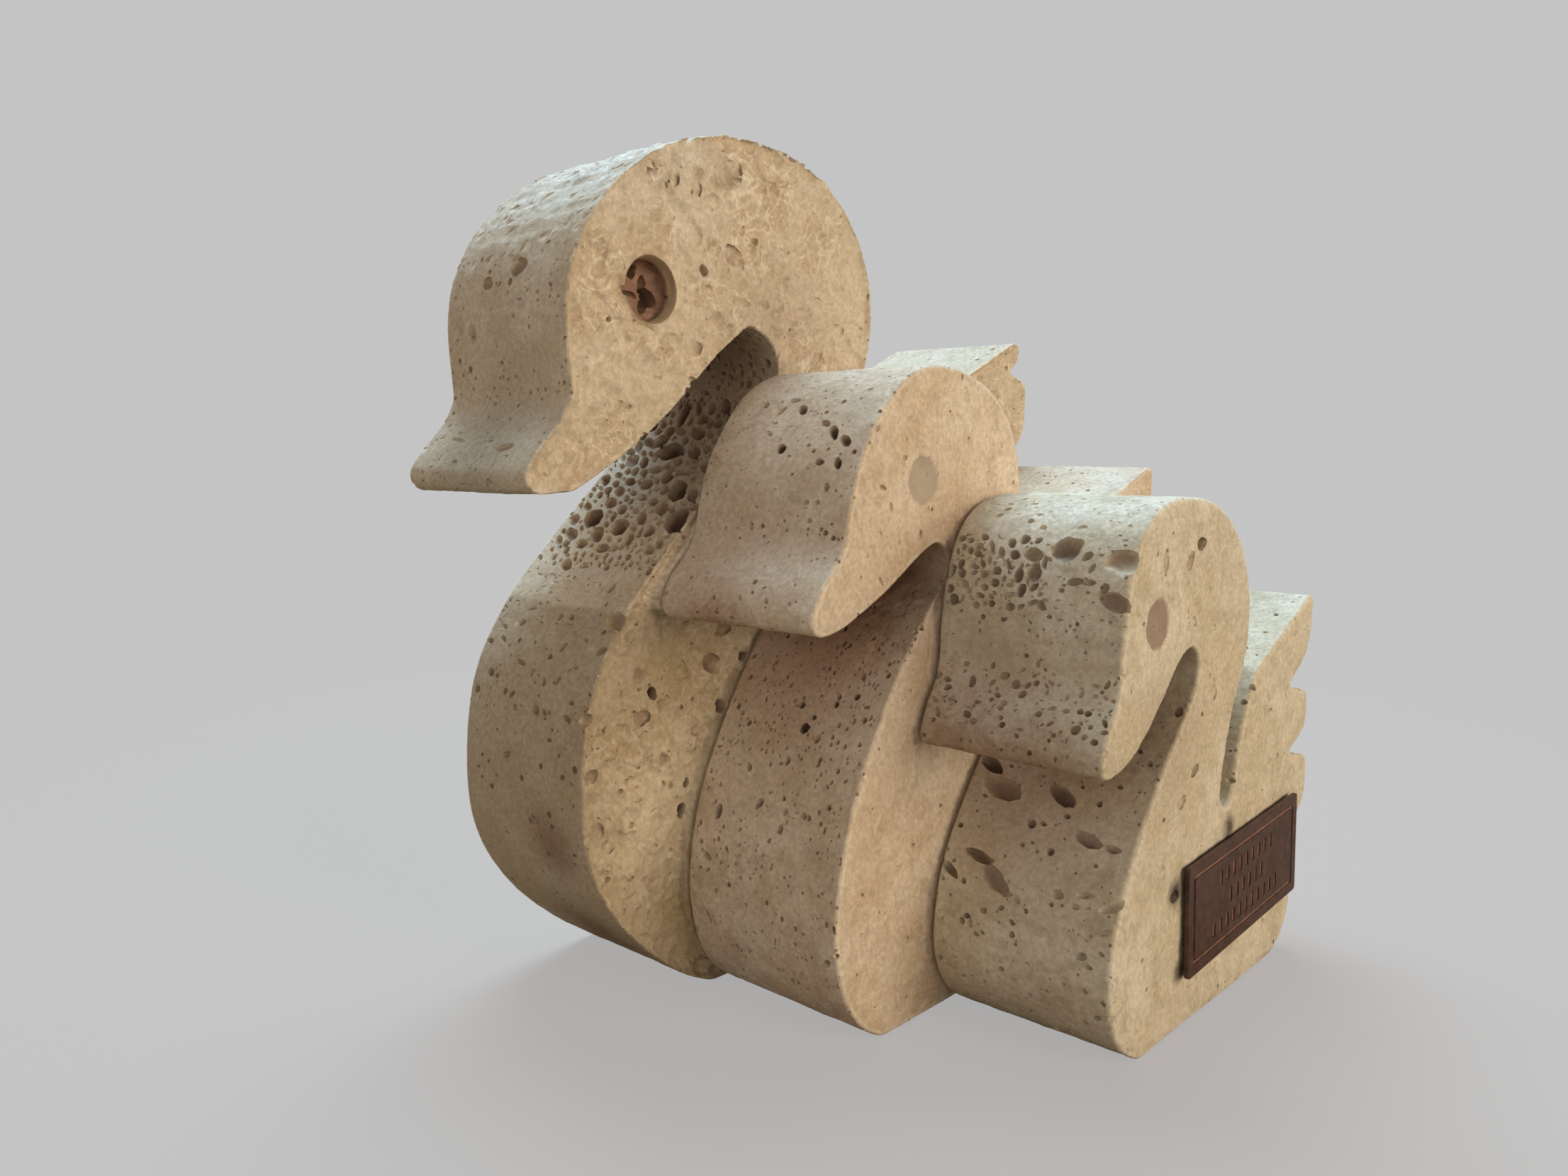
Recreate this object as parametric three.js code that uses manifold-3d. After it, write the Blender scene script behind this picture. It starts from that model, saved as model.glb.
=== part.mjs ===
// A statuette of three travertine swans, made as one group: each bird is a flat
// silhouette cut from a thick stone slab, the slabs stand face to face, and the
// birds step down in size to the right, their tails in line behind.
// Units are millimetres. +Z is up, the birds look along -Y, and the smallest bird
// is on the +X side. The origin is under the middle of the group, on the ground.

import * as THREE from "three";
import { mergeVertices } from "three/addons/utils/BufferGeometryUtils.js";
import Module from "manifold-3d";

// Driving dimensions.
const SLAB_LARGE = 31.4; // thickness of the large bird's slab
const SLAB_MEDIUM = 31;
const SLAB_SMALL = 30;
const SEAM = 0.3; // glue line between two slabs
const EDGE = 1.1; // how far the tumbled edges are rounded back
const EDGE_STEPS = 3; // facets across a rounded edge
const CURVE_STEPS = 3; // facets between two points of a curved outline
const HOLE_SIDES = 28; // facets around an eye
const FEATHER_CORNER = 1.8; // radius of a feather's upper corner
const FEATHER_FALL = 1.6; // drop of a feather's upper edge from the notch above

const LABEL_WIDTH = 42;
const LABEL_HEIGHT = 17;
const LABEL_THICK = 0.6;
const LABEL_CORNER = 0.6;
const LABEL_AT = [26.4, 18]; // middle of the label on the small bird's side
const LABEL_TILT = 3.2; // degrees, the tail end higher
const BORDER_INSET = 1.7;
const BORDER_WIDTH = 0.5;
const STROKE_ROWS = [3.6, -0.2, -4.0]; // heights of the rows of strokes
const STROKES_IN_ROW = [9, 6, 11];
const STROKE_HEIGHT = 2.2;
const STROKE_WIDTH = 0.9;
const STROKE_PITCH = 2.4;
const ENGRAVED = 0.2; // depth of the border and the strokes

const STONE_COLOR = 0xc9ad8a;
const LABEL_COLOR = 0x4a302c;

// Each outline is given in (y, z), front to the left. The breast runs from the foot
// up the front of the neck to the top of the slot under the chin, the bill from
// there down to the tip, and the head from the tip over the crown and down the nape
// to the foot of the slot in front of the tail.
const LARGE = {
  breast: [
    [-29, 0], [-36.5, 4.2], [-47, 14], [-52.8, 24.2], [-54.4, 35.7], [-52.4, 49.7],
    [-46.4, 60.7], [-36, 71.9], [-24, 83.2], [-15.8, 91.9], [-13.4, 97.9], [-15.4, 102.1],
  ],
  chin: [-19.8, 104.1],
  bill: [[-26.6, 99.1], [-36.2, 90.6], [-46.3, 83.4], [-54.4, 78.9]],
  nose: { corner: [-65.4, 78.3], radius: 2.6 },
  crease: [[-60.2, 85.3], [-56.6, 89.1], [-54.6, 92.7]],
  crown: [
    [-55.2, 98.2], [-55.4, 104.2], [-53.7, 112], [-48.7, 120.2], [-40, 127.6],
    [-29, 131.9], [-17, 133.1], [-5.4, 131.1], [4.4, 124.8], [9.7, 115.9], [10.6, 106.7],
    [8.6, 96.7], [4.4, 84.7], [1.6, 72.7], [0.4, 58.7],
  ],
  slot: { bottom: [3.8, 54.7], rise: [[7.4, 58.7], [8.6, 70.7], [11.8, 81.7]] },
  tail: { corner: [18, 89.7], tip: [59.3, 108.1] },
  feathers: [
    { notch: [55.6, 100.7], out: 59 },
    { notch: [54, 82.7], out: 61.8 },
    { notch: [52.5, 64.7], out: 60.4 },
    { notch: [54.5, 46.7], out: 59.4 },
  ],
  rump: [[54.6, 30.7], [54.2, 14.7], [51.5, 4.3], [44.5, 0]],
  eye: { at: [-40.1, 107.8], radius: 4.8, depth: 3.2 },
};

const MEDIUM = {
  breast: [
    [-25, 0], [-30, 3.3], [-34, 9.3], [-35.8, 18.7], [-34, 30.2], [-28.8, 42.5],
    [-20.6, 55.3], [-12.8, 64.1], [-10.4, 67.7], [-10.8, 70.3],
  ],
  chin: [-13.2, 71.3],
  bill: [[-16.8, 69.7], [-24.8, 65.1], [-32.6, 61.5], [-35.2, 60.6]],
  nose: { corner: [-43.2, 58.9], radius: 2.6 },
  crease: [[-38.8, 66.9], [-35.6, 70.2], [-33.9, 72.9]],
  crown: [
    [-33.2, 76.7], [-31.4, 82.7], [-28, 88.5], [-23, 93.9], [-17, 96.9], [-10.5, 97.3],
    [-1.9, 95.4], [5.4, 90.1], [9.3, 81.7], [9.1, 73.7], [5.8, 65.3], [2.4, 56.7], [0.8, 47.2],
  ],
  slot: { bottom: [3.2, 44.3], rise: [[5.9, 47.2], [7.4, 55.7], [11, 63.3]] },
  tail: { corner: [17, 67.3], tip: [56, 83.1] },
  feathers: [
    { notch: [47.5, 65.7], out: 55.8 },
    { notch: [47.5, 51.2], out: 55.6 },
    { notch: [50.5, 34.7], out: 55.8 },
  ],
  rump: [[50.8, 22.7], [50.4, 10.7], [48.4, 3.5], [42.5, 0]],
  eye: { at: [-16.7, 80.7], radius: 3.3, depth: 0.7 },
};

const SMALL = {
  breast: [
    [-6, 0], [-11.4, 3.5], [-14.6, 8.9], [-15.3, 14.7], [-13.6, 22.7], [-8.6, 31.5],
    [-1.2, 40.9], [6.4, 48.7], [9, 52.7], [8.9, 55.5],
  ],
  chin: [6.8, 57],
  bill: [[3.2, 55.5], [-1.8, 50.5], [-8.6, 45.1], [-13.4, 42.9]],
  nose: { corner: [-20.8, 41.7], radius: 2.2 },
  crease: [[-17.6, 49.1], [-15.6, 52.1], [-14.6, 55.7]],
  crown: [
    [-14.4, 60.7], [-12.8, 68.7], [-8.8, 75.1], [-2.4, 78.3], [5.4, 78.7], [14, 77.3],
    [21.7, 72.8], [26.4, 65.9], [27.4, 59.3], [26.1, 52.7], [22.7, 46.9], [20.1, 40.3], [18.6, 32.7],
  ],
  slot: { bottom: [20.9, 30.7], rise: [[23.1, 32.3], [24.4, 37.7], [27.2, 44.7]] },
  tail: { corner: [31, 50.8], tip: [55.4, 62] },
  feathers: [
    { notch: [45.7, 45.9], out: 54.7 },
    { notch: [46, 34.3], out: 54.5 },
    { notch: [50.2, 21.3], out: 55.3 },
  ],
  rump: [[50.4, 14.7], [49.8, 6.7], [47.6, 2.6], [42.5, 0]],
  eye: { at: [-4.8, 61.7], radius: 3.5, depth: 0.7 },
};

const BIRDS = [
  { name: "swan_large", slab: SLAB_LARGE, outline: LARGE },
  { name: "swan_medium", slab: SLAB_MEDIUM, outline: MEDIUM },
  { name: "swan_small", slab: SLAB_SMALL, outline: SMALL },
];

const wasm = await Module();
wasm.setup();

const vector = ([y, z]) => new THREE.Vector2(y, z);

function solid(geometry) {
  const bare = geometry.clone();
  bare.deleteAttribute("normal");
  bare.deleteAttribute("uv");
  const merged = mergeVertices(bare, 1e-4);
  return new wasm.Manifold(
    new wasm.Mesh({
      numProp: 3,
      vertProperties: new Float32Array(merged.attributes.position.array),
      triVerts: new Uint32Array(merged.index.array),
    }),
  );
}

function geometryOf(manifold) {
  const { vertProperties, triVerts } = manifold.getMesh();
  const geometry = new THREE.BufferGeometry();
  geometry.setAttribute("position", new THREE.BufferAttribute(vertProperties, 3));
  geometry.setIndex(new THREE.BufferAttribute(triVerts, 1));
  geometry.computeVertexNormals();
  return geometry;
}

// Goes on to a corner and round it, by an arc that touches the lines on both sides.
function roundCorner(shape, corner, next, radius) {
  const at = vector(corner);
  const back = shape.currentPoint.clone().sub(at).normalize();
  const on = vector(next).sub(at).normalize();
  const half = Math.acos(back.dot(on)) / 2;
  const reach = radius / Math.tan(half);
  const centre = back.clone().add(on).setLength(radius / Math.sin(half)).add(at);
  const start = back.clone().multiplyScalar(reach).add(at).sub(centre).angle();
  const end = on.clone().multiplyScalar(reach).add(at).sub(centre).angle();
  shape.absarc(centre.x, centre.y, radius, start, end, back.cross(on) > 0);
}

// A feather: out along its upper edge, down its end, and round back to the notch.
function feather(shape, corner, { notch, out }) {
  const [y, z] = notch;
  const height = corner[1] - z;
  const below = [out, z + height * 0.5];
  roundCorner(shape, corner, below, FEATHER_CORNER);
  shape.lineTo(...below);
  const inner = y + (out - y) * 0.5;
  shape.bezierCurveTo(out - 0.1, z + height * 0.24, inner, z + height * 0.14, y, z);
}

// The side view of one bird as a closed outline in (y, z).
function silhouette({ breast, chin, bill, nose, crease, crown, slot, tail, feathers, rump }) {
  const shape = new THREE.Shape();
  shape.moveTo(...breast[0]);
  shape.splineThru([...breast.slice(1), chin].map(vector));
  shape.splineThru(bill.map(vector));
  roundCorner(shape, nose.corner, crease[0], nose.radius);
  shape.splineThru(crease.map(vector));
  shape.splineThru(crown.map(vector));
  shape.splineThru([slot.bottom, ...slot.rise, tail.corner].map(vector));
  let corner = tail.tip;
  for (const one of feathers) {
    feather(shape, corner, one);
    const following = feathers[feathers.indexOf(one) + 1];
    if (following) corner = [following.out, one.notch[1] - FEATHER_FALL];
  }
  shape.splineThru(rump.map(vector));
  shape.closePath();
  return shape;
}

// The outline extruded across the slab, its edges rounded inside the outline.
function slab(outline, thickness) {
  const geometry = new THREE.ExtrudeGeometry(silhouette(outline), {
    depth: thickness - 2 * EDGE,
    curveSegments: CURVE_STEPS,
    bevelThickness: EDGE,
    bevelSize: EDGE,
    bevelOffset: -EDGE,
    bevelSegments: EDGE_STEPS,
  });
  // The extrusion runs along z: turn it to run along +X, with the outline upright.
  const turn = new THREE.Matrix4().makeBasis(
    new THREE.Vector3(0, 1, 0),
    new THREE.Vector3(0, 0, 1),
    new THREE.Vector3(1, 0, 0),
  );
  geometry.translate(0, 0, EDGE);
  geometry.applyMatrix4(turn);
  return solid(geometry);
}

// A drilled eye, sunk from the slab's +X face.
function eyeHole({ at, radius, depth }, thickness) {
  const over = 1;
  const hole = new THREE.CylinderGeometry(radius, radius * 0.92, depth + over, HOLE_SIDES);
  hole.rotateZ(-Math.PI / 2);
  hole.translate(thickness - (depth - over) / 2, at[0], at[1]);
  return solid(hole);
}

function rectangle(width, height, corner) {
  const [w, h, r] = [width / 2, height / 2, corner];
  const shape = new THREE.Shape();
  shape.moveTo(-w + r, -h);
  shape.lineTo(w - r, -h);
  shape.absarc(w - r, -h + r, r, -Math.PI / 2, 0);
  shape.lineTo(w, h - r);
  shape.absarc(w - r, h - r, r, 0, Math.PI / 2);
  shape.lineTo(-w + r, h);
  shape.absarc(-w + r, h - r, r, Math.PI / 2, Math.PI);
  shape.lineTo(-w, -h + r);
  shape.absarc(-w + r, -h + r, r, Math.PI, Math.PI * 1.5);
  return shape;
}

// The label: a thin plate with an engraved border and three rows of short strokes.
function labelPlate() {
  const flat = (shape, depth, z) => {
    const geometry = new THREE.ExtrudeGeometry(shape, {
      depth,
      bevelEnabled: false,
      curveSegments: 3,
    });
    return geometry.translate(0, 0, z);
  };
  let plate = solid(flat(rectangle(LABEL_WIDTH, LABEL_HEIGHT, LABEL_CORNER), LABEL_THICK, 0));
  const border = rectangle(
    LABEL_WIDTH - 2 * BORDER_INSET,
    LABEL_HEIGHT - 2 * BORDER_INSET,
    LABEL_CORNER,
  );
  border.holes.push(
    rectangle(
      LABEL_WIDTH - 2 * (BORDER_INSET + BORDER_WIDTH),
      LABEL_HEIGHT - 2 * (BORDER_INSET + BORDER_WIDTH),
      LABEL_CORNER / 2,
    ),
  );
  const floor = LABEL_THICK - ENGRAVED;
  plate = plate.subtract(solid(flat(border, 1, floor)));
  STROKE_ROWS.forEach((height, row) => {
    const count = STROKES_IN_ROW[row];
    for (let i = 0; i < count; i += 1) {
      const stroke = new THREE.BoxGeometry(STROKE_WIDTH, STROKE_HEIGHT, 1);
      const middle = (i - (count - 1) / 2) * STROKE_PITCH;
      stroke.translate(middle, height, floor + 0.5);
      plate = plate.subtract(solid(stroke));
    }
  });
  return geometryOf(plate);
}

const group = new THREE.Group();
const stone = { color: STONE_COLOR, roughness: 0.75, metalness: 0 };

let left = -(SLAB_LARGE + SLAB_MEDIUM + SLAB_SMALL + 2 * SEAM) / 2;
let rightFace = left;
for (const { name, slab: thickness, outline } of BIRDS) {
  const body = slab(outline, thickness).subtract(eyeHole(outline.eye, thickness));
  const mesh = new THREE.Mesh(geometryOf(body), new THREE.MeshStandardMaterial(stone));
  mesh.name = name;
  mesh.position.x = left;
  group.add(mesh);
  rightFace = left + thickness;
  left = rightFace + SEAM;
}

const label = new THREE.Mesh(
  labelPlate(),
  new THREE.MeshStandardMaterial({ color: LABEL_COLOR, roughness: 0.4, metalness: 0.3 }),
);
label.name = "label_plate";
label.quaternion.setFromRotationMatrix(
  new THREE.Matrix4().makeBasis(
    new THREE.Vector3(0, 1, 0),
    new THREE.Vector3(0, 0, 1),
    new THREE.Vector3(1, 0, 0),
  ),
);
label.rotateZ(THREE.MathUtils.degToRad(LABEL_TILT));
label.position.set(left, LABEL_AT[0], LABEL_AT[1]);
group.add(label);

// Put the origin under the middle of the group's box.
group.updateMatrixWorld(true);
const box = new THREE.Box3().setFromObject(group, true);
const middle = box.getCenter(new THREE.Vector3());
for (const piece of group.children) {
  piece.position.x -= middle.x;
  piece.position.y -= middle.y;
  piece.position.z -= box.min.z;
}

export default group;
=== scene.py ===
"""The looks of a group of three travertine swans: sawn slabs, tumbled until their edges
are soft, with the open pores and voids of the stone, and a small brown label."""

import math
import random
from bisect import bisect
from typing import NamedTuple

import bmesh
import bpy
import numpy as np
from bpy.props import EnumProperty, FloatProperty, IntProperty, PointerProperty, StringProperty
from mathutils import Matrix, Vector
from mathutils.bvhtree import BVHTree


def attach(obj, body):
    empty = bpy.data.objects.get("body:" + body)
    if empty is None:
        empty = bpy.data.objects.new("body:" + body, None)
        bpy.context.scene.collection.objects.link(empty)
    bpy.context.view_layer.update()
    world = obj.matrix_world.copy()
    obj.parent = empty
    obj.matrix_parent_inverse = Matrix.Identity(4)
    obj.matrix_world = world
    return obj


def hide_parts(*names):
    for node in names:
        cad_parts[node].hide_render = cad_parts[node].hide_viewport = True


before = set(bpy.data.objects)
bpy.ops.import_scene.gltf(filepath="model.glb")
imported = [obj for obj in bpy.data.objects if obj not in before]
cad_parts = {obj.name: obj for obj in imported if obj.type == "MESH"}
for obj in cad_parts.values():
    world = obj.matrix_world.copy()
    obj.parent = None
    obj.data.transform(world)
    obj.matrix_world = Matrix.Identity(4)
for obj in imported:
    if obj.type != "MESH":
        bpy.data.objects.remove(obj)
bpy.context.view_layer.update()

bl_info = {
    "name": "Travertine Swans",
    "version": (1, 0, 0),
    "blender": (4, 5, 0),
    "location": "View3D > Sidebar > Swans",
    "description": "Builds the stone and the label of a group of three travertine swans",
    "category": "Add Mesh",
}

MM = 0.001

# The camera that took the photograph, in the frame of the group.
CAMERA_AT = (0.1157, -0.1543, 0.0847)
CAMERA_YAW = 42.79
CAMERA_PITCH = -6.55
SENSOR = 36.0
PHOTO_WIDTH = 2212
FOCAL_PIXELS = 1672.7

# What the lamps shine at, in metres.
GROUP_MIDDLE = (0, 0, 0.06)

# How much of a face's normal points sideways: at most on the edge and on a rim, and at
# least on a side, on a face that looks sideways, and where voids lie lengthwise.
EDGE_NORMAL = 0.3
RIM_NORMAL = 0.95
SIDE_NORMAL = 0.98
FACING_NORMAL = 0.9
LENGTHWISE_NORMAL = 0.75

# The width in mm of the waves in a sawn face and of the cups in a worn one, these with
# their share of the depth, and the height over which the wear of the crown sets in.
WAVE_WIDTH = 14
CUPS = ((3.0, 1.0), (6.5, 0.8))
CROWN_BLEND = 12

# The half width in mm from which a void is cut with a fine ball, and from which its rim
# is worn round, with the share of its length, width and half width that this takes.
FINE_FROM = 0.75
SOFT_FROM = 0.8
SOFT_SHARES = (1.15, 1.2, 0.35)

# Balls are made larger, because lumps leave them small, and sunk by a share of the depth.
BALL_SCALE = 1.12
BALL_SINK = 0.1

# In mm, how near a pore is to the place where one is spared, the eye's margin and reach
# inwards, and the cup that a place without wear counts as.
SPARED_REACH = 0.5
EYE_MARGIN = 0.25
EYE_REACH = 8
LEAST_CUP = 0.02

# Widths of the stone's patterns in mm. A vein has its share and its colour too.
CLOUD_WIDTH = 13
MOTTLE_WIDTH = 3.2
GRAIN_WIDTH = 0.8
SPOT_WIDTH = 1.5
VEINS = ((6.5, 1.0, "#f7eedd"), (3.8, 0.8, "#f7eedd"), (4.6, 0.5, "#a08a68"))

# From this depth below the label's face, its copper shows.
LINE_DEPTH = 0.15 * MM


class Void(NamedTuple):
    """One void that can be told from the others, in mm: its place, the length and
    width of its mouth, how its length leans from level in degrees, and its depth as
    a share of its width."""

    x: float
    y: float
    z: float
    length: float
    width: float
    lean: float = 0
    depth: float = 0.6


class Pores(NamedTuple):
    """Pores of one kind, spread over one zone of a bird. The face is the sawn edge
    round the outline, the rim between it and the sides, or the right or left side of
    the slab. Low and high are the corners of the zone, and size the least and
    greatest length of a mouth, in mm. Slender and deep are the width as a share of
    the length and the depth as a share of the width. Lean is how the lengths lean from
    level in degrees, and how far they stray from that. Large sizes get rarer as skew
    grows, crowd is how far apart the pores keep, and tries how often a place is
    sought for each."""

    face: str
    low: tuple
    high: tuple
    count: int
    size: tuple
    slender: tuple = (0.5, 0.95)
    lean: tuple = (0, 40)
    deep: tuple = (0.9, 1.4)
    skew: float = 2.2
    crowd: float = 1.1
    tries: int = 16


class StainOrPaintedLight(NamedTuple):
    """A patch of colour on a bird, in mm its middle and radius, then its colour and its
    strength. Some are real stained spots of the stone, the others painted shade, painted
    shadow and painted light.
    """

    place: tuple
    radius: float
    tone: str
    share: float


class Bird(NamedTuple):
    """What sets one bird apart. Tones are the stone's pale, warm and deep colours and the
    dark of its pores, which is painted shade with their grimy colour, and eye tones those
    of the eye's wall and floor. Eye is the y and z of its middle and its radius, in mm.
    Tumbled is how round the edges are, and the pore depths how deep in mm a pore is where
    its painted shade begins and where it is full. Rough is how strongly the sides, the
    edge and the crown were worn, and crown the height where that begins.
    Band is the height of a bed that changes colour, with that colour and its strength.
    Spared are pores that are left out, because they would break through a side. The
    patches are real stained spots of the stone, and painted shade, shadow and light."""

    node: str
    tones: tuple
    eye: tuple
    eye_tones: tuple
    tumbled: float
    grime_and_shade: tuple
    rough: dict
    crown: float
    pores: list
    voids: list
    stains_and_painted_light: tuple
    band: tuple = ()
    spared: tuple = ()


# The pores of each bird as zones, and its single voids as rows of what a Void holds.
# FAR is further out than any bird's sides.
FAR = 999
LARGE_PORES = [
    Pores(
        "edge", (-44, -39, 70), (-17, -15, 97), 130, (1.8, 4.2), (0.45, 0.68), (-38, 20),
        deep=(0.35, 0.6), skew=1.1, crowd=1.04, tries=90,
    ),
    Pores(
        "edge", (-42, -32, 78), (-24, -15, 96), 90, (1.6, 3.2), (0.45, 0.7), (-40, 25),
        deep=(0.4, 0.6), skew=1.1, crowd=1.04, tries=90,
    ),
    Pores(
        "edge", (-45.5, -42, 67), (-16, -15, 97), 220, (0.9, 2.0), (0.45, 0.8), (-38, 30),
        deep=(0.5, 0.9), skew=1.4, crowd=1.05,
    ),
    Pores("edge", (-47, -47, 61), (-15, -14, 97), 60, (0.4, 1.0), (0.5, 0.9), (-35, 50)),
    Pores(
        "edge", (-46, -24, 92), (-17.5, -13, 105), 150, (0.6, 1.7), (0.5, 0.9), (-40, 40),
        deep=(0.5, 0.9), skew=1.5,
    ),
    Pores("edge", (-47, -50, 58), (-15, -40, 66), 60, (0.6, 1.8), (0.15, 0.3), (0, 10), (0.5, 0.9)),
    Pores("edge", (-47, -60, 46), (-15, -44, 61), 40, (0.6, 1.9), (0.4, 0.8), (0, 60), (0.5, 0.9)),
    Pores("edge", (-47, -60, 2), (-15, -20, 56), 110, (0.3, 1.2)),
    Pores("edge", (-47, -60, 90), (-15, -48, 114), 70, (0.3, 1.1)),
    Pores("edge", (-47, -66, 78), (-15, -54, 93), 80, (0.5, 1.7), (0.25, 0.5), (0, 15), (0.4, 0.8)),
    Pores("edge", (-47, -54, 112), (-15, 6, 134), 300, (0.6, 2.2), (0.25, 0.45), (45, 25), (0.3, 0.5)),
    Pores("edge", (-47, -2, 58), (-15, 12, 122), 110, (0.4, 1.6)),
    Pores("edge", (-47, 12, 2), (-15, 64, 109), 130, (0.4, 1.6)),
    Pores("rim", (-FAR, -50, 118), (FAR, 0, 134), 24, (0.5, 1.5), (0.4, 0.8), (0, 90), (0.2, 0.35)),
    Pores("rim", (-FAR, -66, 0), (FAR, 64, 118), 40, (0.4, 1.0), (0.4, 0.8), (0, 90), (0.15, 0.3)),
    Pores("right", (-FAR, -66, 78), (FAR, 12, 134), 90, (0.9, 3.4), (0.5, 0.9), (0, 90), (0.12, 0.3)),
    Pores("right", (-FAR, -66, 78), (FAR, 60, 134), 60, (0.3, 0.9)),
    Pores("right", (-FAR, -56, 2), (FAR, -14, 66), 90, (0.9, 3.0), (0.5, 0.9), (0, 90), (0.15, 0.35)),
    Pores("right", (-FAR, -56, 2), (FAR, -14, 66), 90, (0.3, 1.1)),
    Pores("right", (-FAR, 12, 60), (FAR, 60, 110), 40, (0.4, 1.5)),
    Pores("left", (-FAR, -66, 0), (FAR, 62, 134), 150, (0.9, 3.2), (0.5, 0.9), (0, 90), (0.1, 0.25)),
    Pores("left", (-FAR, -66, 0), (FAR, 62, 134), 160, (0.4, 1.7)),
]
LARGE_VOIDS = [
    (-36, -16, 91, 4.8, 2.2, -70), (-37.2, -20.6, 87, 3.4, 2.6, 35),
    (-29, -19, 88, 3.4, 1.9, -30), (-33, -22, 85, 6.2, 3.6, -10),
    (-27, -22, 85, 3.3, 1.8, -30), (-37.4, -24.4, 83.8, 3.3, 1.8, -50),
    (-33, -25, 82, 3.6, 1.7, 0), (-25.8, -25.6, 82, 5.6, 1.4, 5),
    (-24, -28.6, 79.4, 5.4, 3.2, -50), (-37, -27.5, 80.6, 2.8, 1.6, -25),
    (-41, -29, 79, 2.2, 1.6, -30), (-27.6, -30.6, 77.4, 2.6, 1.5, -30),
    (-31, -30, 78, 2.4, 1.4, -25), (-33.6, -32, 76, 2.6, 1.8, -25),
    (-39, -34, 75, 5.0, 3.4, -35), (-31, -35, 73.6, 4.2, 3.0, -25),
    (-19.4, -33, 75, 5.2, 3.6, -50), (-23.4, -35, 73, 2.6, 1.8, -35),
    (-31.4, -38, 70.4, 3.0, 1.8, -10), (-37, -41, 67.6, 3.2, 1.9, -30),
    (-32.6, -40.6, 67.6, 2.2, 1.0, 5), (-23, -43, 65, 2.0, 1.3, 70),
    (-17.8, -46.6, 60.6, 4.2, 2.4, -5, 0.4), (-20, -29.4, 79, 3.2, 1.7, -50),
    (-29, -54, 111, 3.2, 2.3, 5, 0.4), (-36, -54, 109, 2.4, 1.6, -15, 0.4),
    (-39, -55, 102, 2.4, 1.8, -70, 0.25), (-25, -60, 86, 3.6, 1.2, 10, 0.4),
    (-38, -59, 87, 4.0, 0.8, -10, 0.4), (-35, -51, 53, 2.6, 0.8, -10),
    (-17, -53, 47, 2.4, 1.7, 30), (-35, -54, 39, 2.0, 1.0, 20),
    (-18, -49.4, 56.6, 2.6, 1.2, 25), (-16, -29.3, 111.8, 1.9, 1.4, -85, 0.9),
    (-16, -28, 108.6, 1.8, 1.0, -15), (-16, -32, 108, 2.2, 1.2, -85, 0.4),
    (-16, -20.5, 118, 2.3, 1.3, 65), (-16, -18.6, 117, 1.7, 1.1, 35),
    (-16, -14.5, 125.2, 1.9, 1.0, 65), (-16, -51.5, 101, 1.8, 0.8, 50),
    (-16, -38.6, 123.6, 2.4, 1.5, -25, 0.4), (-16, -30.6, 129.6, 2.2, 1.6, 50, 0.5),
    (-16, -24, 126.6, 6.2, 4.4, 15, 0.14), (-16, -22, 115, 4.9, 2.7, -35, 0.25),
    (-16, -35, 125, 5.2, 3.4, 15, 0.12), (-16, -44.9, 107.2, 2.2, 1.2, -25, 0.8),
    (-18.7, -40, 110.8, 2.3, 1.7, 50, 1.4), (-18.7, -38.4, 109, 2.4, 1.2, 80, 1.2),
    (-18.7, -37.5, 107.5, 2.7, 1.9, -50, 1.1), (-18.7, -37.7, 106.1, 2.0, 1.6, 80, 1.1),
    (-18.7, -40.4, 107.5, 3.0, 0.9, -12, 1.3), (-18.4, -35.4, 107.1, 1.3, 0.9, 20, 0.8),
    (-15.6, -34.4, 29.4, 2.4, 1.6, 70, 1.9), (-15.6, -33.6, 33.7, 1.6, 1.0, 60, 2.0),
    (-15.6, -26.8, 45.6, 2.2, 1.4, 60, 1.9), (-15.6, -21.8, 52.3, 1.8, 1.2, 40, 1.9),
    (-15.6, -40.4, 49.2, 2.1, 1.7, -50, 1.7), (-15.6, -38, 38, 2.8, 1.8, -75, 0.5),
    (-15.6, -32, 42, 1.9, 1.4, 50), (-15.6, -27, 52, 3.4, 2.6, -25, 0.5),
    (-15.6, -25, 57, 3.8, 2.4, 0, 0.5), (-15.6, -37, 46, 5.0, 3.2, -15, 0.2),
    (-15.6, -42.4, 45.6, 3.4, 2.4, -15, 0.25), (-15.6, -47, 46, 3.6, 1.8, -10, 0.3),
    (-15.6, -52, 38.6, 2.4, 1.9, 20, 0.5),
]

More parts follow.
